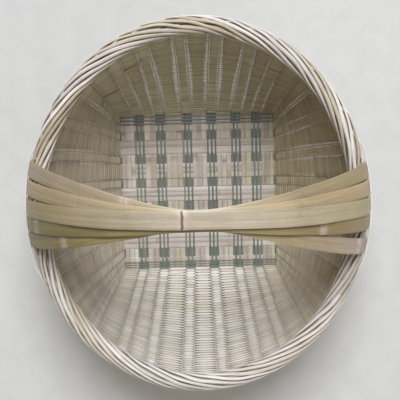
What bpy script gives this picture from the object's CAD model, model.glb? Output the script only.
"""Visual model of a handled bamboo basket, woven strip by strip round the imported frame.

Every splint, weft, rim strand and handle strip is a swept strip of its own, with rounded edges,
a wandering width and its own colour. A point of a strip remembers its colour ("tint") and its
place on the strip ("fibre": metres along, metres across, a number for the strip), and the
materials draw the bamboo's grain from those. Metres, in the frame of the CAD.
"""

import math

import bpy
import numpy as np
from mathutils import Matrix, Vector


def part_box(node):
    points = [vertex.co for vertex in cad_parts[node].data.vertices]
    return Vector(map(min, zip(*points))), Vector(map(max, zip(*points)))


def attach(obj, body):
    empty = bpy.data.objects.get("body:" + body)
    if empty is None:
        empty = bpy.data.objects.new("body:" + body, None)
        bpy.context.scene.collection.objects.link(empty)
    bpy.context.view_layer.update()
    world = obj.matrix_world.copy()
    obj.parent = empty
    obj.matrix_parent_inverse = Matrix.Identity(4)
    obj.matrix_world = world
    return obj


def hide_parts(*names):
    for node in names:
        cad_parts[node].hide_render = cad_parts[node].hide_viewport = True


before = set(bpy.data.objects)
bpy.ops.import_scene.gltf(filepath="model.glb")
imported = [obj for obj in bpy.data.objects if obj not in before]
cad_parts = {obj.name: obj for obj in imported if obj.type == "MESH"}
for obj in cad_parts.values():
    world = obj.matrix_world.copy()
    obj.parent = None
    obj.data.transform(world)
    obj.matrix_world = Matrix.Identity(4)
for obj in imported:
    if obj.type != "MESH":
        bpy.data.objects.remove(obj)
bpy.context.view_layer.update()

MM = 0.001
SEED = 41

# ---------------------------------------------------------------- measures of the basket
SPLINT = 0.75 * MM  # thickness of a natural splint
GREEN = 0.55 * MM  # and of a green one
SPLINT_GAP = 0.3 * MM  # between splints of one group
GREEN_COUNT = 5  # splints in a green group
NATURAL_LONG = [3, 2, 3, 3, 3, 2, 3]  # splints in each natural group, left to right
NATURAL_CROSS = [1, 3, 3, 3, 3, 2, 1]  # and front to back
BASE_MARGIN = 1.2 * MM  # from the outermost splints to the foot of the wall
BASE_TOP = 2.4 * MM  # the flat of the base lies below this height
BASE_REACH = 90.0 * MM  # and its splints are straight at least this far from its middle
MIDDLE = 1.11 * MM  # centre heights of the base's layers
HIGH = 1.87 * MM
LOW = 0.35 * MM
GREEN_HIGH = 1.77 * MM
GREEN_LOW = 0.45 * MM
GREEN_FLOOR = 0.25 * MM

FAN = 41.9  # degrees of rim on each side of a base side's middle
CORNER = 45.0  # degrees from there to the stakes at the basket's corners
SLOPE_FOOT = 42.0  # degrees, slope of the wall at the base
SLOPE_TOP = 73.0  # and at its top
RIM_AT = 0.98  # height share of the rim's centreline
WALL_WIDTH = 0.74  # splints narrow to this share of their width above the base
TRIM_END = 0.05  # height share where they have done so
TIP_WIDTH = 0.62  # they narrow once more, to this share of that
TIP_FROM = 0.79  # between these height shares
TIP_TO = 0.9

COURSES = 86
WEFT_FIRST = 0.012  # height share of the lowest course
WEFT_LAST = 0.93  # and of the highest
WEFT = 0.85 * MM  # thickness of a weft
WEAVE = 0.86 * MM  # weft centre to stake centre

HOOP_OUT = 0.7 * MM  # wall centreline to the near face of a hoop
HOOP_WIDE = 8.8 * MM
HOOP_THICK = 4.0 * MM
HOOP_FACES = 2.1 * MM  # rim centreline to the middle of both hoops' outer faces
STRAND_ACROSS = 9.3 * MM  # half-axes of the oval that the strands are wound on
STRAND_UP = 7.9 * MM

# places of the handle's strips, front to back, at the left rim, the crown and the right rim
HANDLE_LEFT = np.array([-28.8, -10.6, 7.8, 28.6, 47.7]) * MM
HANDLE_CROWN = np.array([6.1, 5.1, 8.6, 9.1, 8.1]) * MM
HANDLE_RIGHT = np.array([-44.2, -17.7, 0.6, 18.8, 37.1]) * MM
STRIP_WIDE = 18.0 * MM
STRIP_THICK = 2.1 * MM


# ---------------------------------------------------------------- small mathematics
def mix(a, b, share):
    return a + (b - a) * share


def smooth(x, low=0.0, high=1.0):
    x = np.clip((x - low) / (high - low), 0.0, 1.0)
    return x * x * (3.0 - 2.0 * x)


def bump(x, half_width):
    """1 where x is nought, falling to nothing within about two half widths."""
    return np.exp(-((x / half_width) ** 2))


def unit(v):
    return v / np.linalg.norm(v, axis=-1, keepdims=True)


def column(values):
    return np.asarray(values)[..., None]


def paint(red, green, blue):
    """Linear colour from a colour as it looks, 0 to 255."""
    c = np.array([red, green, blue]) / 255.0
    return np.where(c <= 0.04045, c / 12.92, ((c + 0.055) / 1.055) ** 2.4)


def picked(tones, rng):
    return tones[rng.integers(len(tones))]


def wander(count, waves, rng):
    """A smooth random curve of about -1 to 1 that ends where it starts."""
    t = np.linspace(0.0, 2.0 * math.pi, count, endpoint=False)
    total = np.zeros(count)
    for _ in range(5):
        total += np.sin(t * rng.integers(1, waves + 1) + rng.uniform(0.0, 2.0 * math.pi))
    return total / 3.0


def varied(count, waves, size, rng):
    """Factors that wander by a size round 1."""
    return 1.0 + size * wander(count, waves, rng)


def smoothed(poles, steps, closed=False):
    """The quadratic curve through the middles of the poles' polygon, in steps per pole."""
    if closed:
        before = np.roll(poles, 1, 0)
        after = np.roll(poles, -1, 0)
    else:
        before = np.vstack([2 * poles[:1] - poles[1:2], poles[:-1]])
        after = np.vstack([poles[1:], 2 * poles[-1:] - poles[-2:-1]])
    t = (np.arange(steps) / steps)[None, :, None]
    curve = 0.5 * (1 - t) ** 2 * before[:, None] + (0.5 + t - t * t) * poles[:, None]
    curve = (curve + 0.5 * t * t * after[:, None]).reshape(-1, poles.shape[1])
    return curve if closed else np.vstack([curve[steps // 2 :], poles[-1:]])


# ---------------------------------------------------------------- strips
# half sections, as shares of the half width and of the half thickness
FLAT = np.array(
    [(1, 0.35), (0.84, 1), (0, 1.05), (-0.84, 1), (-1, 0.35)]
    + [(-1, -0.35), (-0.84, -1), (0, -1.05), (0.84, -1), (1, -0.35)]
)
SOFT = np.array(
    [(1, 0), (0.78, 0.8), (0, 1), (-0.78, 0.8), (-1, 0), (-0.78, -0.8), (0, -1), (0.78, -0.8)]
)
EDGE_RISE = 0.3  # a section's points lower than this are its edges
STRIP_SHIFT = 0.37  # keeps the grain of one strip apart from the next one's
SHARP_EDGE = 55.0  # degrees

# columns of a path, which has a row for each station along its strip
CENTRE = slice(0, 3)
ACROSS = slice(3, 6)
NORMAL = slice(6, 9)
WIDTH = 9
THICK = 10
STAKE_SIDE = 11  # of a weft: 1 outside a stake, -1 inside it
EDGE_DIRT = 12  # of a weft: 1 where its edges are darkest


def stations(centre, across, normal, width, thick):
    """A path from its centres, directions, widths and thicknesses."""
    count = len(centre)
    width = np.broadcast_to(width, count)
    thick = np.broadcast_to(thick, count)
    return np.hstack([centre, across, normal, column(width), column(thick)])


class Bundle:
    """Strips gathered into one piece."""

    def __init__(self):
        self.points = []
        self.tints = []
        self.fibres = []
        self.faces = []
        self.size = 0
        self.strips = 0

    def add(self, path, section, tint, closed=False):
        """Sweep a section along a path. The tint is one colour, or one a station, or one a point."""
        n = len(path)
        m = len(section)
        centre = path[:, CENTRE]
        side = section[None, :, :1] * path[:, WIDTH, None, None] / 2
        rise = section[None, :, 1:] * path[:, THICK, None, None] / 2
        points = centre[:, None] + side * unit(path[:, ACROSS])[:, None]
        points = points + rise * unit(path[:, NORMAL])[:, None]
        steps = np.linalg.norm(np.diff(centre, axis=0), axis=1)
        self.strips += 1
        fibre = np.empty((n, m, 3))
        fibre[..., 0] = np.concatenate([[0.0], np.cumsum(steps)])[:, None]
        fibre[..., 1] = side[..., 0]
        fibre[..., 2] = self.strips * STRIP_SHIFT
        tint = np.asarray(tint)
        tint = tint if tint.ndim == 3 else tint.reshape(-1, 1, 3)
        self.add_faces(n, m, closed)
        self.points.append(points.reshape(-1, 3))
        self.tints.append(np.broadcast_to(tint, (n, m, 3)).reshape(-1, 3))
        self.fibres.append(fibre.reshape(-1, 3))
        self.size += n * m

    def add_faces(self, n, m, closed):
        """Faces round a strip of n stations with m points each, with end caps unless it is closed."""
        rows = np.arange(n if closed else n - 1)[:, None]
        cols = np.arange(m)[None, :]
        here = rows * m
        ahead = (rows + 1) % n * m
        beside = (cols + 1) % m
        quads = np.stack([here + cols, here + beside, ahead + beside, ahead + cols], -1)
        self.faces += (quads.reshape(-1, 4) + self.size).tolist()
        if not closed:
            end = self.size + n * m
            self.faces.append(list(range(self.size + m - 1, self.size - 1, -1)))
            self.faces.append(list(range(end - m, end)))

    def piece(self, node, slot_name):
        """Make the strips an object that stands for a CAD node."""
        mesh = bpy.data.meshes.new(node + "_bamboo")
        mesh.from_pydata(np.vstack(self.points).tolist(), [], self.faces)
        tint = mesh.attributes.new("tint", "FLOAT_COLOR", "POINT")
        tints = np.vstack(self.tints)
        tint.data.foreach_set("color", np.hstack([tints, np.ones((len(tints), 1))]).ravel())
        fibre = mesh.attributes.new("fibre", "FLOAT_VECTOR", "POINT")
        fibre.data.foreach_set("vector", np.vstack(self.fibres).ravel())
        mesh.polygons.foreach_set("use_smooth", [True] * len(mesh.polygons))
        mesh.set_sharp_from_angle(angle=math.radians(SHARP_EDGE))
        mesh.materials.append(MATERIALS[slot_name])
        thing = bpy.data.objects.new(node + "_bamboo", mesh)
        bpy.context.scene.collection.objects.link(thing)
        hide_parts(node)
        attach(thing, "root")


# ---------------------------------------------------------------- materials
# grain, as noise cells per metre along a strip, across it and from strip to strip
FINE_FIBRES = (45.0, 2600.0, 50.0)
BROAD_STREAKS = (7.0, 520.0, 50.0)
PORES = (260.0, 1500.0, 50.0)
BLOTCHES = 38.0  # cells per metre
BLOTCH_COLOUR = (*paint(128, 104, 76), 1.0)
PORE_COLOUR = (*paint(84, 66, 46), 1.0)
PORE_DEPTH = 0.55
COAT_ROUGHNESS = 0.35
GRAIN_RELIEF = 0.25 * MM


def nodes_of(material):
    material.use_nodes = True
    tree = material.node_tree
    return tree, tree.nodes["Principled BSDF"]


def add_node(tree, kind, inputs=None, **settings):
    """A new node with its settings made and its inputs set or linked."""
    made = tree.nodes.new(kind)
    for name, value in settings.items():
        setattr(made, name, value)
    for key, value in (inputs or {}).items():
        if isinstance(value, bpy.types.NodeSocket):
            tree.links.new(value, made.inputs[key])
        else:
            made.inputs[key].default_value = value
    return made


def noise(tree, place, scale, detail):
    inputs = {"Vector": place, "Scale": scale, "Detail": detail}
    return add_node(tree, "ShaderNodeTexNoise", inputs).outputs[0]


def grain(tree, fibre, scale, detail):
    """Noise drawn out along the strip's fibres."""
    stretched = add_node(tree, "ShaderNodeVectorMath", {0: fibre, 1: scale}, operation="MULTIPLY")
    return noise(tree, stretched.outputs[0], 1.0, detail)


def ranged(tree, value, low, high, to_low, to_high):
    inputs = {"Value": value, "From Min": low, "From Max": high, "To Min": to_low, "To Max": to_high}
    return add_node(tree, "ShaderNodeMapRange", inputs).outputs[0]


def calculated(tree, a, b, operation):
    return add_node(tree, "ShaderNodeMath", {0: a, 1: b}, operation=operation).outputs[0]


def times(tree, colour, factor):
    inputs = {0: colour, "Scale": factor}
    return add_node(tree, "ShaderNodeVectorMath", inputs, operation="SCALE").outputs[0]


def blended(tree, factor, a, b):
    return add_node(tree, "ShaderNodeMix", {0: factor, 6: a, 7: b}, data_type="RGBA").outputs[2]


def bamboo(name, contrast, stain, roughness, coat, relief):
    """Split bamboo: fine fibres, broader streaks, stains, dark pores and a slightly waxy sheen."""
    material = bpy.data.materials.new(name)
    tree, shader = nodes_of(material)
    tint = add_node(tree, "ShaderNodeAttribute", attribute_name="tint").outputs["Color"]
    fibre = add_node(tree, "ShaderNodeAttribute", attribute_name="fibre").outputs["Vector"]
    place = add_node(tree, "ShaderNodeTexCoord").outputs["Object"]
    fine = grain(tree, fibre, FINE_FIBRES, 3.0)
    broad = grain(tree, fibre, BROAD_STREAKS, 2.0)
    pores = grain(tree, fibre, PORES, 1.0)
    blotch = noise(tree, place, BLOTCHES, 3.0)

    lightness = ranged(tree, fine, 0.25, 0.75, 1.0 - contrast, 1.0 + contrast * 0.7)
    colour = times(tree, tint, lightness)
    lightness = ranged(tree, broad, 0.3, 0.7, 1.0 - contrast * 0.9, 1.0 + contrast * 0.6)
    colour = times(tree, colour, lightness)
    worn = ranged(tree, blotch, 0.48, 0.72, 0.0, stain)
    colour = blended(tree, worn, colour, BLOTCH_COLOUR)
    pitted = ranged(tree, pores, 0.68, 0.76, 0.0, PORE_DEPTH)
    colour = blended(tree, pitted, colour, PORE_COLOUR)
    tree.links.new(colour, shader.inputs["Base Color"])

    rough = ranged(tree, fine, 0.3, 0.7, roughness - 0.07, roughness + 0.1)
    tree.links.new(rough, shader.inputs["Roughness"])
    shader.inputs["Coat Weight"].default_value = coat
    shader.inputs["Coat Roughness"].default_value = COAT_ROUGHNESS
    height = calculated(tree, fine, broad, "ADD")
    inputs = {"Height": height, "Strength": relief, "Distance": GRAIN_RELIEF}
    ridged = add_node(tree, "ShaderNodeBump", inputs).outputs[0]
    tree.links.new(ridged, shader.inputs["Normal"])
    return material


FINISHES = {
    "natural_bamboo": dict(contrast=0.16, stain=0.2, roughness=0.55, coat=0.05, relief=0.5),
    "green_bamboo": dict(contrast=0.14, stain=0.12, roughness=0.42, coat=0.15, relief=0.35),
    "weft_bamboo": dict(contrast=0.14, stain=0.16, roughness=0.55, coat=0.05, relief=0.5),
    "rim_bamboo": dict(contrast=0.2, stain=0.22, roughness=0.5, coat=0.1, relief=0.6),
    "handle_bamboo": dict(contrast=0.17, stain=0.16, roughness=0.42, coat=0.15, relief=0.4),
}
MATERIALS = {name: bamboo(name, **finish) for name, finish in FINISHES.items()}


# ---------------------------------------------------------------- form of the wall
def corners(node):
    low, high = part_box(node)
    return np.array(low), np.array(high)


def flat_points(node, axis):
    """The CAD node's points in the flat of the base, along one axis."""
    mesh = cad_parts[node].data
    flat = np.empty(3 * len(mesh.vertices), np.float32)
    mesh.vertices.foreach_get("co", flat)
    points = flat.reshape(-1, 3)
    inside = (points[:, 2] < BASE_TOP) & (np.abs(points[:, 1 - axis]) < BASE_REACH)
    return points[inside][:, axis].astype(float)


class Group:
    """Splints side by side that run across the base and up two opposite sides.

    The kind is "natural" or "green" for long splints. Cross splints pass "over" or "under" the
    natural long ones, are "green" between them, and are "edge" at the front and back of the base.
    """

    def __init__(self, node, kind, count, axis):
        places = flat_points(node, axis)
        self.node = node
        self.kind = kind
        self.count = count
        self.place = (places.min() + places.max()) / 2
        self.width = places.max() - places.min() + SPLINT_GAP
        self.natural = kind in ("natural", "over", "under")
        self.thick = SPLINT if self.natural else GREEN
        self.splint_width = self.width / count - SPLINT_GAP
        self.offsets = (np.arange(count) - (count - 1) / 2) * self.width / count


def long_groups():
    found = []
    for k, count in enumerate(NATURAL_LONG):
        if k:
            found.append(Group(f"green_long_splints_{k}", "green", GREEN_COUNT, 0))
        found.append(Group(f"long_splints_{k + 1}", "natural", count, 0))
    return found


def cross_groups():
    found = [Group("green_cross_splints_1", "edge", GREEN_COUNT, 1)]
    last = len(NATURAL_CROSS) + 1
    for k, count in enumerate(NATURAL_CROSS):
        if k:
            found.append(Group(f"green_cross_splints_{k + 1}", "green", GREEN_COUNT, 1))
        kind = "over" if k % 2 else "under"
        found.append(Group(f"cross_splints_{k + 1}", kind, count, 1))
    return found + [Group(f"green_cross_splints_{last}", "edge", GREEN_COUNT, 1)]


LONG = long_groups()
CROSS = cross_groups()
HALF_X = LONG[-1].place + LONG[-1].width / 2 + BASE_MARGIN
HALF_Y = CROSS[-1].place + CROSS[-1].width / 2 + BASE_MARGIN


def run_share(v):
    """Share of the wall's run outwards that is done at a height share."""
    foot = math.sin(math.radians(SLOPE_FOOT))
    top = math.sin(math.radians(SLOPE_TOP))
    return (np.sin(np.radians(mix(SLOPE_FOOT, SLOPE_TOP, v))) - foot) / (top - foot)


def rise_share(v):
    """Share of the wall's rise that is done there."""
    foot = math.cos(math.radians(SLOPE_FOOT))
    top = math.cos(math.radians(SLOPE_TOP))
    return (foot - np.cos(np.radians(mix(SLOPE_FOOT, SLOPE_TOP, v)))) / (foot - top)


OUTER_LOW, OUTER_HIGH = corners("rim_outer_hoop")
INNER_LOW, INNER_HIGH = corners("rim_inner_hoop")
RIM_Z = (OUTER_LOW[2] + OUTER_HIGH[2] + INNER_LOW[2] + INNER_HIGH[2]) / 4
RIM_HALF = (OUTER_HIGH + INNER_HIGH) / 2 - np.array([HOOP_FACES, HOOP_FACES, 0.0])
DEPTH = (RIM_Z - MIDDLE) / rise_share(RIM_AT)
RIM_X = mix(HALF_X, RIM_HALF[0], 1 / run_share(RIM_AT))
RIM_Y = mix(HALF_Y, RIM_HALF[1], 1 / run_share(RIM_AT))


def rim_point(angle):
    a = np.radians(angle)
    return np.stack([RIM_X * np.cos(a), RIM_Y * np.sin(a), 0 * a + MIDDLE + DEPTH], -1)


def rim_along(angle):
    a = np.radians(angle)
    return unit(np.stack([-RIM_X * np.sin(a), RIM_Y * np.cos(a), 0 * a], -1))


class Line:
    """A line up the wall, from a point on the base's edge to an angle on the rim."""

    def __init__(self, foot, foot_along, angle):
        self.foot = np.array(foot)
        self.foot_along = np.array(foot_along)
        self.angle = angle

    def point(self, v):
        place = mix(self.foot, rim_point(self.angle), column(run_share(v)))
        place[..., 2] = MIDDLE + DEPTH * rise_share(v)
        return place

    def across(self, v):
        return unit(mix(self.foot_along, rim_along(self.angle), column(run_share(v))))

    def slope(self, v):
        step = 1e-3
        return (self.point(v + step) - self.point(v - step)) / (2 * step)

    def outward(self, v):
        return unit(np.cross(self.across(v), self.slope(v)))


FRONT, RIGHT, BACK, LEFT = range(4)
SIDE_ANGLES = [-90.0, 0.0, 90.0, 180.0]
SIDE_ALONG = [(1.0, 0.0, 0.0), (0.0, 1.0, 0.0), (-1.0, 0.0, 0.0), (0.0, -1.0, 0.0)]


def wall_line(side, t):
    """Line at t from -1 to 1 along a side of the base, anticlockwise."""
    feet = [
        (t * HALF_X, -HALF_Y, MIDDLE),
        (HALF_X, t * HALF_Y, MIDDLE),
        (-t * HALF_X, HALF_Y, MIDDLE),
        (-HALF_X, -t * HALF_Y, MIDDLE),
    ]
    return Line(feet[side], SIDE_ALONG[side], SIDE_ANGLES[side] + FAN * t)


def line_at_angle(angle):
    side = round((angle + 90.0) / 90.0)
    from_middle = angle - (side * 90.0 - 90.0)
    t = from_middle / FAN if abs(from_middle) <= FAN else math.copysign(1.0, from_middle)
    line = wall_line(side % 4, t)
    line.angle = angle
    return line


def stake_line(side, group):
    half = HALF_X if side in (FRONT, BACK) else HALF_Y
    sign = 1 if side in (FRONT, RIGHT) else -1
    line = wall_line(side, sign * group.place / half)
    if group.kind == "edge":
        line.angle = SIDE_ANGLES[side] + math.copysign(CORNER, sign * group.place)
    return line


STAKES = [  # every group as it stands in the wall, anticlockwise from the front left corner
    (group, stake_line(side, group))
    for side, groups in enumerate([LONG, CROSS, LONG[::-1], CROSS[::-1]])
    for group in groups
]


def trim(v):
    """Share of their width that splints keep at a height share of the wall."""
    foot = mix(1.0, WALL_WIDTH, smooth(v, 0.0, TRIM_END))
    return foot * mix(1.0, TIP_WIDTH, smooth(v, TIP_FROM, TIP_TO))


# ---------------------------------------------------------------- splints
BASE_TONES = [
    paint(190, 180, 172), paint(182, 172, 164), paint(196, 186, 174), paint(181, 169, 155),
    paint(188, 182, 160), paint(176, 165, 156), paint(202, 193, 186), paint(188, 176, 168),
]
GREEN_TONES = [
    paint(116, 122, 114), paint(124, 128, 120), paint(108, 115, 106), paint(131, 133, 122),
]
KNOT_TONE = paint(104, 78, 62)
STAIN_TONE = paint(148, 122, 100)
STAKE_TONE = paint(176, 166, 148)
STAKE_SHARE = 0.7  # of that tone in the splints above the base
KNOT_REACH = 0.09  # metres from the base's middle within which the splints' knots lie
STAIN_LENGTH = 7.0 * MM
SCAR_LENGTH = 1.1 * MM
LEVEL = 3.0 * MM  # splints lie flat up to this height
FADED = 9.0 * MM  # and green ones have lost their colour at this one

BASE_BEND = 0.28 * MM  # half the room in which a splint changes its height beside a crossing
CROSS_POLES = 60
WALL_POLES = 40
WALL_CLOSER = 1.2  # power that brings those poles closer together at the foot
STAKE_FROM = 0.012  # height shares between which a stake stands
STAKE_TO = 1.01
LONG_SWAY = 0.12 * MM  # how far splints wander sideways in the base
CROSS_SWAY = 0.1 * MM


def wall_path(line, offset, group):
    share = np.arange(WALL_POLES) / (WALL_POLES - 1)
    v = mix(STAKE_FROM, STAKE_TO, share**WALL_CLOSER)
    across = line.across(v)
    centre = line.point(v) + across * column(offset * trim(v))
    return stations(centre, across, line.outward(v), group.splint_width * trim(v), group.thick)


def turned(path, across_sign, normal_sign):
    """The same stations with their directions turned to suit the base's."""
    copy = path.copy()
    copy[:, ACROSS] *= across_sign
    copy[:, NORMAL] *= normal_sign
    return copy


def long_height(group, index, crossing):
    """Height at which a long splint passes a group of cross splints."""
    if crossing.kind in ("green", "edge"):
        return MIDDLE
    above = crossing.kind == "under"
    if group.kind == "natural":
        return HIGH if above else LOW
    if index % 2 == 0:
        above = not above
    return GREEN_HIGH if above else GREEN_LOW


def cross_height(group, index):
    if group.kind == "green":
        return GREEN_FLOOR
    if group.kind == "edge":
        return GREEN_FLOOR if index % 2 else GREEN_HIGH
    return MIDDLE


def splint_tint(path, group, axis, rng):
    """A colour of its own, varying along the strip; green fades just above the base."""
    if group.natural:
        tone = picked(BASE_TONES, rng) * rng.uniform(0.93, 1.05)
        foot = tone
    else:
        foot = picked(GREEN_TONES, rng) * rng.uniform(0.9, 1.12)
        tone = STAKE_TONE
    drift = column(varied(len(path), 3, 0.05, rng))
    height = path[:, 2]
    up = column(smooth(height, LEVEL, FADED))
    tint = mix(foot, mix(tone, STAKE_TONE, STAKE_SHARE), up) * drift
    if group.natural:
        from_knot = path[:, axis] - rng.uniform(-KNOT_REACH, KNOT_REACH)
        level = height < LEVEL
        stain = bump(from_knot, STAIN_LENGTH) * rng.uniform(0.0, 0.5)
        tint = mix(tint, STAIN_TONE, column(stain * level))
        scar = bump(from_knot, SCAR_LENGTH) * rng.uniform(0.1, 0.75)
        tint = mix(tint, KNOT_TONE, column(scar * level))
    return tint


def lay_splint(bundle, group, poles, axis, sway, rng):
    """Add a splint that runs along an axis, wandering a little sideways where it lies flat."""
    path = smoothed(poles, 2)
    level = 1.0 - smooth(path[:, 2], 2 * MM, 6 * MM)
    path[:, 1 - axis] += sway * wander(len(path), 9, rng) * level
    path[:, WIDTH] *= varied(len(path), 12, 0.035, rng)
    bundle.add(path, FLAT, splint_tint(path, group, axis, rng))


def long_splint(bundle, group, index, rng):
    offset = group.offsets[index]
    centre = []
    for crossing in CROSS:
        z = long_height(group, index, crossing)
        for edge in (-1, 1):
            for inset in (-BASE_BEND, BASE_BEND):
                y = crossing.place + edge * crossing.width / 2 + inset
                centre.append([group.place + offset, y, z])
    across = np.broadcast_to([1.0, 0.0, 0.0], (len(centre), 3))
    normal = np.broadcast_to([0.0, 0.0, 1.0], (len(centre), 3))
    flat = stations(centre, across, normal, group.splint_width, group.thick)
    front = turned(wall_path(stake_line(FRONT, group), offset, group), 1, -1)
    back = turned(wall_path(stake_line(BACK, group), -offset, group), -1, -1)
    lay_splint(bundle, group, np.vstack([front[::-1], flat, back]), 1, LONG_SWAY, rng)


def cross_splint(bundle, group, index, rng):
    offset = group.offsets[index]
    z = cross_height(group, index)
    run = np.linspace(-HALF_X + BASE_MARGIN, HALF_X - BASE_MARGIN, CROSS_POLES)
    centre = [[x, group.place + offset, z] for x in run]
    across = np.broadcast_to([0.0, 1.0, 0.0], (len(centre), 3))
    normal = np.broadcast_to([0.0, 0.0, 1.0], (len(centre), 3))
    flat = stations(centre, across, normal, group.splint_width, group.thick)
    left = turned(wall_path(stake_line(LEFT, group), -offset, group), -1, -1)
    right = turned(wall_path(stake_line(RIGHT, group), offset, group), 1, -1)
    lay_splint(bundle, group, np.vstack([left[::-1], flat, right]), 0, CROSS_SWAY, rng)


def make_splints():
    rng = np.random.default_rng(SEED)
    for groups, add_splint in ((LONG, long_splint), (CROSS, cross_splint)):
        for group in groups:
            bundle = Bundle()
            for index in range(group.count):
                add_splint(bundle, group, index, rng)
            bundle.piece(group.node, "natural_bamboo" if group.natural else "green_bamboo")


# ---------------------------------------------------------------- weft
WEFT_TONES = [
    paint(226, 219, 210), paint(221, 214, 203), paint(218, 212, 203), paint(228, 220, 210),
    paint(215, 208, 194), paint(224, 213, 204), paint(221, 218, 212), paint(221, 209, 198),
    paint(213, 206, 190), paint(230, 225, 218),
]
SIDE_TONES = np.array([  # how the inside of the front, right, back and left wall has aged
    (1.04, 1.05, 1.09), (0.58, 0.51, 0.34), (0.70, 0.69, 0.50), (0.62, 0.58, 0.49),
])
OUTSIDE_TONE = np.array([0.86, 0.83, 0.75])  # and their outside

NATURAL_FILL = 1.85  # height of a weft in rows, where it lies on a natural or green group
GREEN_FILL = 1.95
CROSSING_FILL = 1.1  # and where it passes from one group to the next
FRONT_FILL = 0.8  # which is less high up the front
FILL_SPREAD = (0.7, 1.2)  # least and greatest share of that
KEPT_PAST = 0.8  # share of the gap between groups that a weft crosses on the natural group's side
CROSSING_REACH = 0.8  # share of its way there at which its pole lies
BEND_INSET = 0.7 * MM  # from the edge of a stake to the pole on it
LEAST_REACH = 0.6 * MM  # from the middle of a stake to that pole
GREEN_LINES = 0.35  # darkness of a weft's edges on green groups, as a share of that on natural ones
DEEP = 0.92  # how dark a weft gets where it dives behind a stake
EDGE_SHADE = 0.4  # and along its edges

COURSE_SWAY = 0.22 * MM  # how far all courses wander up and down together
WEFT_SWAY = 0.09 * MM  # and each one by itself
LEVEL_COURSES = 12  # the lowest courses don't wander together

STRAYS = 2  # loose ends of weft inside each band
STRAY_POLES = (4, 8)  # length of a stray, from and up to
STRAY_RISE = (0.2, 0.5)  # rows that it climbs or sinks from pole to pole
STRAY_PROUD = 2.0 * MM  # how far it stands off the stakes' middle
STRAY_WIDE = 1.7 * MM
STRAY_THICK = 0.6 * MM


def weft_tint(count, rng):
    """Colour along one turn: a new strip of another colour starts once or twice in it."""
    tone = np.empty((count, 3))
    cuts = np.sort(rng.integers(0, count, rng.integers(1, 4)))
    edges = [0, *cuts, count]
    for start, end in zip(edges[:-1], edges[1:]):
        tone[start:end] = picked(WEFT_TONES, rng) * rng.uniform(0.92, 1.06)
    return tone * column(varied(count, 14, 0.05, rng))


def side_share(angle):
    """Shares of the front, right, back and left wall at each angle round the rim."""
    a = np.radians(angle)
    sides = [-np.sin(a), np.cos(a), np.sin(a), -np.cos(a)]
    return np.stack([np.clip(side, 0.0, 1.0) ** 2 for side in sides], -1)


def aged(points):
    """Lightness and hue of the inside of the wall at each point."""
    angle = np.degrees(np.arctan2(points[:, 1] / RIM_Y, points[:, 0] / RIM_X))
    return side_share(angle) @ SIDE_TONES


def clearances(v):
    """Gap between each group of stakes and the next one round the wall, at each height."""
    centres = [line.point(v) for _, line in STAKES]
    halves = [group.width * trim(v) / 2 for group, _ in STAKES]
    gaps = []
    for k in range(len(STAKES)):
        after = (k + 1) % len(STAKES)
        apart = np.linalg.norm(centres[after] - centres[k], axis=1)
        gaps.append(np.maximum(apart - halves[k] - halves[after], 0.0))
    return gaps


def wefts(rng):
    """The poles of every course, as an array of courses by poles by a path's columns."""
    spacing = (WEFT_LAST - WEFT_FIRST) / (COURSES - 1)
    number = np.arange(COURSES)
    v = WEFT_FIRST + spacing * number
    gaps = clearances(v)
    poles = []
    for index, (group, line) in enumerate(STAKES):
        side = np.where((index + number) % 2 == 1, 1.0, -1.0)
        slope = line.slope(v)
        tall = np.linalg.norm(slope, axis=1) * spacing
        outward = line.outward(v)
        across = line.across(v)
        half = group.width * trim(v) / 2
        full = NATURAL_FILL if group.natural else GREEN_FILL
        kept = KEPT_PAST if group.natural else 1 - KEPT_PAST
        dirt = np.full(COURSES, 1.0 if group.natural else GREEN_LINES)
        front = side_share(line.angle)[FRONT] * smooth(v, 0.0, 0.3)
        crossing = mix(CROSSING_FILL, FRONT_FILL, front)
        for hand, in_gap in ((-1, True), (-1, False), (1, False), (1, True)):
            if in_gap:
                gap = gaps[index if hand > 0 else index - 1]
                reach = half + gap * kept * CROSSING_REACH
                fill = crossing * rng.uniform(*FILL_SPREAD, COURSES)
            else:
                reach = np.maximum(half - BEND_INSET, LEAST_REACH)
                fill = full
            centre = line.point(v) + across * column(hand * reach)
            centre += outward * column(side * WEAVE)
            pole = stations(centre, unit(slope), outward, tall * fill, WEFT)
            poles.append(np.hstack([pole, column(side), column(dirt)]))
    return np.stack(poles, 1)


def weft_shade(path, section):
    """Share of light that reaches each point: least on the face that looks at a stake's back."""
    outside = path[:, STAKE_SIDE]
    rise = section[:, 1]
    inner = column(smooth(outside, -0.1, 0.7)) * np.clip(-rise, 0.0, 1.0)
    outer = column(smooth(-outside, -0.1, 0.9)) * np.clip(rise, 0.0, 1.0)
    edge = EDGE_SHADE * column(path[:, EDGE_DIRT]) * (np.abs(rise) < EDGE_RISE)
    return (1.0 - DEEP * (inner + outer)) * (1.0 - edge)


def weft(bundle, poles, common, rng):
    """One closed course of weft."""
    path = smoothed(poles, 2, closed=True)
    count = len(path)
    shift = common + WEFT_SWAY * wander(count, 40, rng)
    path[:, CENTRE] += unit(path[:, ACROSS]) * column(shift)
    path[:, WIDTH] *= varied(count, 50, 0.06, rng)
    looks_inside = column(0.5 - 0.5 * SOFT[:, 1])
    tint = mix(OUTSIDE_TONE, aged(path[:, CENTRE])[:, None], looks_inside)
    tint = tint * weft_tint(count, rng)[:, None] * column(weft_shade(path, SOFT))
    bundle.add(path, SOFT, tint, closed=True)


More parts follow.
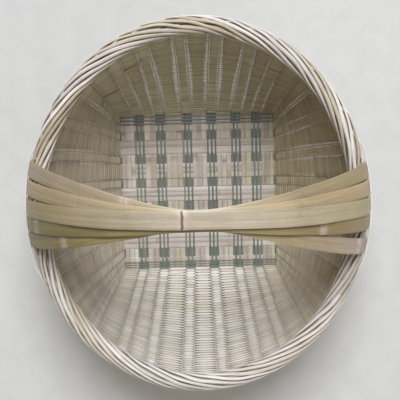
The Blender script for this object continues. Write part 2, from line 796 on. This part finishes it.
def stray(bundle, courses, number, rng):
    """The loose end of a weft, lying slantwise over the rows inside the basket."""
    first = rng.integers(0, courses.shape[1] - STRAY_POLES[1])
    length = rng.integers(*STRAY_POLES)
    rise = rng.choice([-1, 1]) * rng.uniform(*STRAY_RISE)
    poles = []
    for k in range(length):
        row = int(np.clip(number + rise * k, 0, COURSES - 1))
        pole = courses[row][first + k].copy()
        pole[CENTRE] -= pole[NORMAL] * (pole[STAKE_SIDE] * WEAVE + STRAY_PROUD)
        pole[WIDTH] = STRAY_WIDE
        pole[THICK] = STRAY_THICK
        poles.append(pole)
    path = smoothed(np.array(poles), 3)
    bundle.add(path, SOFT, picked(WEFT_TONES, rng) * aged(path[:, CENTRE]))


def make_wefts():
    rng = np.random.default_rng(SEED + 1)
    bands = sum(name.startswith("weft_band_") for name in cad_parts)
    courses = wefts(rng)
    common = COURSE_SWAY * wander(2 * courses.shape[1], 20, rng)
    for band in range(bands):
        bundle = Bundle()
        for number in range(round(band * COURSES / bands), round((band + 1) * COURSES / bands)):
            weft(bundle, courses[number], common * smooth(number, 0, LEVEL_COURSES), rng)
        for _ in range(STRAYS):
            stray(bundle, courses, round((band + 0.5) * COURSES / bands), rng)
        bundle.piece(f"weft_band_{band + 1}", "weft_bamboo")


# ---------------------------------------------------------------- rim
RIM_TONES = [
    paint(218, 210, 206), paint(226, 219, 214), paint(206, 198, 190), paint(198, 188, 172),
    paint(214, 206, 204), paint(204, 199, 182), paint(212, 200, 192), paint(192, 178, 156),
]
WEATHERED = paint(238, 232, 230)
BLEACHING = 0.6  # share of that colour at the very front
STRANDS = 4
LAPS = 9  # strands side by side round the section
TURNS = 46  # turns in those laps
STRAND_START = -120.0  # degrees round the rim
STRAND_STATIONS = 1400
STRAND_EASE = 10.0  # degrees by which a strand hurries over the sides of the rim
STRAND_SWAY = 0.09  # radians round the rim's section
STRAND_BULGE = 0.035
STRAND_WIDE = 3.9 * MM
STRAND_WIDER = 0.6 * MM  # how much that wanders
STRAND_THICK = 1.7 * MM
STRAND_SHADE = 0.35  # dirt along the edges
HOOP_STATIONS = 360
CANE_STATIONS = 480
CANE_TALL = 3.0 * MM
CANE_THICK = 2.0 * MM
CANE_EASE = 18.0 * MM  # from the handle to where the cane lies close to the rim again
CANE_SAG = 0.5 * MM


def rim_frame(angle):
    """Centres of the rim at an array of angles, with its directions along and level outwards."""
    centre = np.array([line_at_angle(a).point(np.array(RIM_AT)) for a in angle])
    along = rim_along(angle)
    return centre, along, np.cross(along, [0.0, 0.0, 1.0])


def rim_angles(count):
    return np.linspace(-90.0, 270.0, count, endpoint=False)


def make_hoops(rng):
    lines = [line_at_angle(a) for a in rim_angles(HOOP_STATIONS)]
    at_rim = np.array(RIM_AT)
    middle = np.array([line.point(at_rim) for line in lines])
    outward = np.array([line.outward(at_rim) for line in lines])
    up = unit(np.array([line.slope(at_rim) for line in lines]))
    for node, side in (("rim_inner_hoop", -1), ("rim_outer_hoop", 1)):
        centre = middle + outward * side * (HOOP_OUT + HOOP_THICK / 2)
        bundle = Bundle()
        tint = RIM_TONES[3] * column(varied(HOOP_STATIONS, 9, 0.08, rng))
        path = stations(centre, up, outward, HOOP_WIDE, HOOP_THICK)
        bundle.add(path, FLAT, tint, closed=True)
        bundle.piece(node, "rim_bamboo")


def strand_tint(share, angle, rng):
    """Colour along a strand of strips that follow each other, bleached at the front of the rim."""
    tone = np.empty((len(share), 3))
    cuts = [0.0, *np.sort(rng.uniform(0.1, 0.9, 2)), 1.01]
    for start, end in zip(cuts[:-1], cuts[1:]):
        here = (share >= start) & (share < end)
        tone[here] = picked(RIM_TONES, rng) * rng.uniform(0.95, 1.06)
    tone = tone * column(varied(len(share), 20, 0.06, rng))
    return mix(tone, WEATHERED, BLEACHING * column(side_share(angle)[:, FRONT]))


def make_strands(rng):
    share = np.linspace(0.0, 1.0, STRAND_STATIONS)
    count = len(share)
    edges = 1.0 - STRAND_SHADE * (np.abs(SOFT[:, 1]) < EDGE_RISE)
    up = np.array([0.0, 0.0, 1.0])
    for number in range(STRANDS):
        lap = (number + share) * LAPS / STRANDS
        angle = lap * 360.0 + STRAND_START
        around = 2 * math.pi * lap * TURNS / LAPS
        around += math.radians(STRAND_EASE) * np.sin(around)
        around += STRAND_SWAY * wander(count, 60, rng)
        bulge = varied(count, 80, STRAND_BULGE, rng)
        around = -math.pi / 2 - around
        centre, _, outward = rim_frame(angle)
        centre = centre + outward * column(STRAND_ACROSS * np.cos(around) * bulge)
        centre = centre + up * column(STRAND_UP * np.sin(around) * bulge)
        normal = outward * column(np.cos(around) / STRAND_ACROSS)
        normal = unit(normal + up * column(np.sin(around) / STRAND_UP))
        across = unit(np.cross(normal, unit(np.gradient(centre, axis=0))))
        wide = STRAND_WIDE + STRAND_WIDER * wander(count, 30, rng)
        path = stations(centre, across, normal, wide, STRAND_THICK)
        bundle = Bundle()
        bundle.add(path, SOFT, strand_tint(share, angle, rng)[:, None] * column(edges))
        bundle.piece(f"rim_strand_{number + 1}", "rim_bamboo")


def make_cane(rng):
    """The cane round the outside of the rim, which stands off it where it holds the handle."""
    angle = rim_angles(CANE_STATIONS)
    centre, _, outward = rim_frame(angle)
    low, high = corners("rim_binding_cane")
    reach = max(np.abs(HANDLE_LEFT).max(), np.abs(HANDLE_RIGHT).max()) + STRIP_WIDE / 2
    beside = 1.0 - smooth(np.abs(centre[:, 1]), reach, reach + CANE_EASE)
    beside *= np.abs(centre[:, 0]) > RIM_X / 2
    past = (high[0] - low[0]) / 2 - RIM_HALF[0] - CANE_THICK / 2
    centre = centre + outward * column(mix(past - CANE_TALL, past, beside))
    centre[:, 2] += CANE_SAG * wander(CANE_STATIONS, 12, rng)
    up = np.broadcast_to([0.0, 0.0, 1.0], centre.shape)
    tint = RIM_TONES[1] * (1.05 + 0.05 * column(wander(CANE_STATIONS, 9, rng)))
    bundle = Bundle()
    bundle.add(stations(centre, up, outward, CANE_TALL, CANE_THICK), SOFT, tint, closed=True)
    bundle.piece("rim_binding_cane", "rim_bamboo")


def make_rim():
    rng = np.random.default_rng(SEED + 2)
    make_hoops(rng)
    make_strands(rng)
    make_cane(rng)


# ---------------------------------------------------------------- handle
STRIP_LOW, STRIP_HIGH = corners("handle_strip_3")
STACK_STEP = 2.3 * MM  # from one layer of strips to the next
STACK_RIM = [0, 1, 2, 1, 0]  # layers that each strip rises just above the rim
STACK_MIDDLE = [0, 0, 1, 1, 0]  # then half-way up the arch
STACK_CROWN = [0, 1, 1, 1, 1]  # and then near the crown
TOP_LAYER = 4
RISE_RIM = (1.0, 10.0)  # degrees round the arch between which the strips do so
RISE_MIDDLE = (40.0, 54.0)
RISE_CROWN = (54.0, 64.0)
ARCH_FOOT = RIM_Z + 3.0 * MM
CROWN_RISE = STRIP_HIGH[2] - ARCH_FOOT - TOP_LAYER * STACK_STEP - 1.0 * MM
STRIP_OUT = (STRIP_HIGH[0] - STRIP_LOW[0]) / 2 - RIM_HALF[0] - 1.0 * MM
WAIST = 0.18  # how softly the strips turn at the crown, where they come together
TWIST_END = 25.0  # degrees round the arch where a strip has turned to lie square to its own way
ARCH_POLES = 45
ARCH_STEP = 1e-3
HANDLE_STEPS = 12

TAIL_FROM = 0.45  # height shares of the wall between which a tail lies on it
TAIL_TO = 0.78
TAIL_POLES = 6
TAIL_GAP = 0.35 * MM  # between a tail and the wefts under it
TAIL_LEAD = [(5.5, 15.0), (0.6, 7.0), (0.0, 1.0)]  # mm inwards and down, up to the arch's end
TAIL_LEAN = 15.0
SEARCH_STEPS = 8

PALE = paint(234, 215, 214)
KNOT_LINE = 0.0017  # share of a strip's length that a knot's line takes
KNOT_BLOOM = 0.007  # and its pale bloom
KNOT_RIDGE = 0.004  # and its ridge
KNOT_RAGGED = 0.0007
KNOT_DARK = 0.3  # share of the knots' colour in the base
RIDGE_PROUD = 0.35 * MM
RIDGE_WIDER = 0.5 * MM

# for each strip, front to back: colour at the left rim, the crown and the right rim, width as a
# share of STRIP_WIDE, and knots as (share of its length, darkness of the line, paleness)
HANDLE_LOOKS = [
    dict(left=paint(124, 113, 66), crown=paint(168, 152, 112), right=paint(162, 144, 128),
         wide=0.95, knots=[(0.27, 0.25, 0.5), (0.8, 0.4, 0.7)]),
    dict(left=paint(122, 112, 66), crown=paint(156, 142, 102), right=paint(142, 122, 86),
         wide=0.95, knots=[(0.2, 0.3, 0.6), (0.69, 0.3, 0.6)]),
    dict(left=paint(158, 142, 100), crown=paint(186, 173, 154), right=paint(170, 157, 122),
         wide=1.02, knots=[(0.472, 1.0, 1.0)]),
    dict(left=paint(170, 150, 118), crown=paint(188, 171, 140), right=paint(172, 150, 116),
         wide=1.0, knots=[(0.3, 0.1, 0.2)]),
    dict(left=paint(168, 151, 128), crown=paint(190, 173, 145), right=paint(158, 141, 104),
         wide=1.05, knots=[(0.385, 0.3, 0.7)]),
]


def rim_place(y, left):
    """Centre of the rim at a place front to back, and its directions along and outwards."""
    a = math.degrees(math.asin(y / RIM_Y))
    angle = np.array([180.0 - a if left else a])
    centre, along, outward = rim_frame(angle)
    return centre[0], along[0], outward[0]


def tail_line(y, v, left):
    """The line up the left or right wall that passes a place front to back at a height share."""
    side = LEFT if left else RIGHT
    reached = abs(wall_line(side, 1.0).point(v)[1])
    t = 0.0
    for _ in range(SEARCH_STEPS):
        t += (y - wall_line(side, t).point(v)[1]) / reached * (-1 if left else 1)
    return wall_line(side, t)


def tail_rows(y, left):
    """A strip's end, from down on the outside of the wall up over the outside of the rim."""
    rows = []
    proud = WEAVE + WEFT / 2 + STRIP_THICK / 2 + TAIL_GAP
    for v in np.linspace(TAIL_FROM, TAIL_TO, TAIL_POLES):
        line = tail_line(y, v, left)
        outward = line.outward(v)
        rows.append([*(line.point(v) + outward * proud), *line.across(v), *outward])
    centre, along, out = rim_place(y, left)
    for inward, down in TAIL_LEAD:
        here = centre + out * (STRIP_OUT - inward * MM) - np.array([0.0, 0.0, down * MM])
        lean = unit(out * inward + np.array([0.0, 0.0, TAIL_LEAN]))
        rows.append([*here, *along, *unit(np.cross(along, lean))])
    return np.array(rows)


def stack_level(index, from_rim, from_end):
    """Layers that a strip lies above the lowest one."""
    level = STACK_RIM[index] * smooth(from_rim, *RISE_RIM)
    level += STACK_MIDDLE[index] * smooth(from_end, *RISE_MIDDLE)
    return level + STACK_CROWN[index] * smooth(from_end, *RISE_CROWN)


def arch_point(index, theta):
    """Point of a strip on its arc of a circle, from 0 at the left rim to pi at the right."""
    left = theta < math.pi / 2
    centre, _, out = rim_place(HANDLE_LEFT[index] if left else HANDLE_RIGHT[index], left)
    end = centre + out * STRIP_OUT
    span = abs(end[0])
    radius = (span**2 + CROWN_RISE**2) / (2 * CROWN_RISE)
    lean = math.asin(span / radius) * (2 * theta / math.pi - 1)
    x = radius * math.sin(lean)
    z = ARCH_FOOT + CROWN_RISE + radius * (math.cos(lean) - 1)
    share = abs(x) / span
    spread = (math.hypot(share, WAIST) - WAIST) / (math.hypot(1, WAIST) - WAIST)
    place = np.array([x, mix(HANDLE_CROWN[index], end[1], spread), z])
    outward = np.array([math.sin(lean), 0, math.cos(lean)])
    from_rim = math.degrees(min(theta, math.pi - theta))
    from_end = math.degrees(math.acos(min(share, 1.0)))
    return place + outward * stack_level(index, from_rim, from_end) * STACK_STEP, outward


def arch_rows(index):
    rows = []
    for theta in np.linspace(0.0, math.pi, ARCH_POLES):
        centre, outward = arch_point(index, theta)
        after, _ = arch_point(index, theta + ARCH_STEP)
        before, _ = arch_point(index, theta - ARCH_STEP)
        along = unit(after - before)
        left = theta < math.pi / 2
        _, rim, _ = rim_place(HANDLE_LEFT[index] if left else HANDLE_RIGHT[index], left)
        square = unit(np.cross(outward, along))
        from_rim = math.degrees(min(theta, math.pi - theta))
        across = unit(mix(-rim if left else rim, square, smooth(from_rim, 0.0, TWIST_END)))
        rows.append([*centre, *across, *unit(np.cross(along, across))])
    return np.array(rows)


def crowned():
    """Section of a handle strip: a crowned skin side with rounded edges and a flat back."""
    x = np.linspace(1.0, -1.0, 17)
    skin = np.stack([x, 1.0 - 0.12 * x**2 - 0.75 * np.abs(x) ** 9], -1)
    back = [(-0.99, -0.5), (-0.93, -1.0), (0.93, -1.0), (0.99, -0.5)]
    return np.vstack([skin, back])


def over_width(section, parts, low, high, rng):
    """Random values from low to high over the width of a section, in a number of parts."""
    return np.interp(section[:, 0], np.linspace(-1, 1, parts), rng.uniform(low, high, parts))


def handle_tint(look, share, section, rng):
    near = column(smooth(share, 0.18, 0.47))
    far = column(smooth(share, 0.53, 0.82))
    tone = mix(mix(look["left"], look["crown"], near), look["right"], far)
    tone = tone * column(varied(len(share), 7, 0.07, rng))
    slant = 1.0 + 0.05 * section[:, 0] * rng.choice([-1, 1])
    tone = tone[:, None] * column(slant)
    for knot, dark, pale in look["knots"]:
        ragged = KNOT_RAGGED * over_width(section, 9, -1, 1, rng)
        patchy = over_width(section, 7, 0.3, 1, rng)
        from_knot = share[:, None] - knot - ragged
        bloom = bump(from_knot, KNOT_BLOOM) * patchy
        tone = mix(tone, PALE, column(pale * bloom))
        tone = mix(tone, KNOT_TONE * KNOT_DARK, column(dark * bump(from_knot, KNOT_LINE)))
    return tone


def handle_strip(index, section, rng):
    look = HANDLE_LOOKS[index]
    left = tail_rows(HANDLE_LEFT[index], True)
    left[:, ACROSS] *= -1
    right = tail_rows(HANDLE_RIGHT[index], False)
    rows = np.vstack([left, arch_rows(index), right[::-1]])
    ones = np.ones((len(rows), 1))
    poles = np.hstack([rows, ones * STRIP_WIDE * look["wide"], ones * STRIP_THICK])
    path = smoothed(poles, HANDLE_STEPS)
    steps = np.linalg.norm(np.diff(path[:, CENTRE], axis=0), axis=1)
    share = np.concatenate([[0.0], np.cumsum(steps)]) / steps.sum()
    path[:, WIDTH] *= varied(len(path), 6, 0.02, rng)
    for knot, _, _ in look["knots"]:
        ridge = bump(share - knot, KNOT_RIDGE)
        path[:, CENTRE] += path[:, NORMAL] * column(RIDGE_PROUD * ridge)
        path[:, WIDTH] += RIDGE_WIDER * ridge
    bundle = Bundle()
    bundle.add(path, section, handle_tint(look, share, section, rng))
    bundle.piece(f"handle_strip_{index + 1}", "handle_bamboo")


def make_handle():
    rng = np.random.default_rng(SEED + 3)
    section = crowned()
    for index in range(len(HANDLE_LOOKS)):
        handle_strip(index, section, rng)


# ---------------------------------------------------------------- surroundings
BACKDROP = (0.9, 0.92, 0.94, 1.0)
BACKDROP_STRENGTH = 0.7
SKY_LIGHT = (1.0, 0.93, 0.8, 1.0)  # the world's light on the basket, unseen by the camera
SKY_STRENGTH = 0.27
FLOOR_HALF = 30.0  # metres
FLOOR_SHADES = (0.60, 0.64)
FLOOR_SPECKLES = 40.0  # per metre
FLOOR_ROUGHNESS = 0.9
FADE_FROM = 0.9  # metres from the basket between which the floor fades into the backdrop
FADE_TO = 3.5

LENS = 76.3  # mm, on a sensor 36 mm wide
SENSOR = 36.0
EYE = Vector((0.0066, 0.138, RIM_Z + 0.9345))
TARGET = Vector((0.0021, 0.0093, RIM_Z))
ROLL = -1.49  # degrees
LIT_PLACE = Vector((0.0, 0.0, 0.1))


def floor_material():
    material = bpy.data.materials.new("floor")
    tree, shader = nodes_of(material)
    place = add_node(tree, "ShaderNodeTexCoord").outputs["Object"]
    shade = ranged(tree, noise(tree, place, FLOOR_SPECKLES, 4.0), 0.3, 0.7, *FLOOR_SHADES)
    tree.links.new(shade, shader.inputs["Base Color"])
    shader.inputs["Roughness"].default_value = FLOOR_ROUGHNESS
    away = add_node(tree, "ShaderNodeVectorMath", {0: place}, operation="LENGTH").outputs["Value"]
    seen = add_node(tree, "ShaderNodeLightPath").outputs["Is Camera Ray"]
    fade = calculated(tree, ranged(tree, away, FADE_FROM, FADE_TO, 0.0, 1.0), seen, "MULTIPLY")
    inputs = {"Color": BACKDROP, "Strength": BACKDROP_STRENGTH}
    glow = add_node(tree, "ShaderNodeEmission", inputs).outputs[0]
    mixed = add_node(tree, "ShaderNodeMixShader", {0: fade, 1: shader.outputs[0], 2: glow})
    tree.links.new(mixed.outputs[0], tree.nodes["Material Output"].inputs["Surface"])
    return material


def add_floor():
    """A pale floor that blends into the backdrop far from the basket."""
    mesh = bpy.data.meshes.new("floor")
    signs = [(-1, -1), (1, -1), (1, 1), (-1, 1)]
    mesh.from_pydata([(x * FLOOR_HALF, y * FLOOR_HALF, 0.0) for x, y in signs], [], [(0, 1, 2, 3)])
    mesh.materials.append(floor_material())
    floor = bpy.data.objects.new("floor", mesh)
    bpy.context.scene.collection.objects.link(floor)


def look_at(thing, eye, target, up, roll=0.0):
    back = (eye - target).normalized()
    right = up.cross(back).normalized()
    turn = Matrix((right, back.cross(right), back)).transposed() @ Matrix.Rotation(roll, 3, "Z")
    thing.matrix_world = Matrix.Translation(eye) @ turn.to_4x4()


def add_light(name, eye, size, power, colour):
    data = bpy.data.lights.new(name, "AREA")
    data.shape = "DISK"
    data.size = size
    data.energy = power
    data.color = colour
    light = bpy.data.objects.new(name, data)
    bpy.context.scene.collection.objects.link(light)
    look_at(light, Vector(eye), LIT_PLACE, Vector((0.0, 0.0, 1.0)))


def add_lights():
    add_light("sky_window", eye=(0.2, 2.9, 4.0), size=2.6, power=262.0, colour=(0.94, 0.97, 1.0))
    add_light("side_fill", eye=(1.6, -3.2, 1.3), size=2.4, power=34.0, colour=(1.0, 0.97, 0.92))


def add_backdrop():
    world = bpy.data.worlds.new("world")
    world.use_nodes = True
    tree = world.node_tree
    seen = add_node(tree, "ShaderNodeLightPath").outputs["Is Camera Ray"]
    colour = blended(tree, seen, SKY_LIGHT, BACKDROP)
    strength = ranged(tree, seen, 0.0, 1.0, SKY_STRENGTH, BACKDROP_STRENGTH)
    tree.links.new(colour, tree.nodes["Background"].inputs["Color"])
    tree.links.new(strength, tree.nodes["Background"].inputs["Strength"])
    bpy.context.scene.world = world
    bpy.context.scene.view_settings.view_transform = "Standard"


def add_camera():
    data = bpy.data.cameras.new("camera")
    data.sensor_width = SENSOR
    data.lens = LENS
    camera = bpy.data.objects.new("camera", data)
    bpy.context.scene.collection.objects.link(camera)
    look_at(camera, EYE, TARGET, Vector((0.0, 1.0, 0.0)), math.radians(ROLL))
    bpy.context.scene.camera = camera


make_splints()
make_wefts()
make_rim()
make_handle()
add_floor()
add_lights()
add_backdrop()
add_camera()
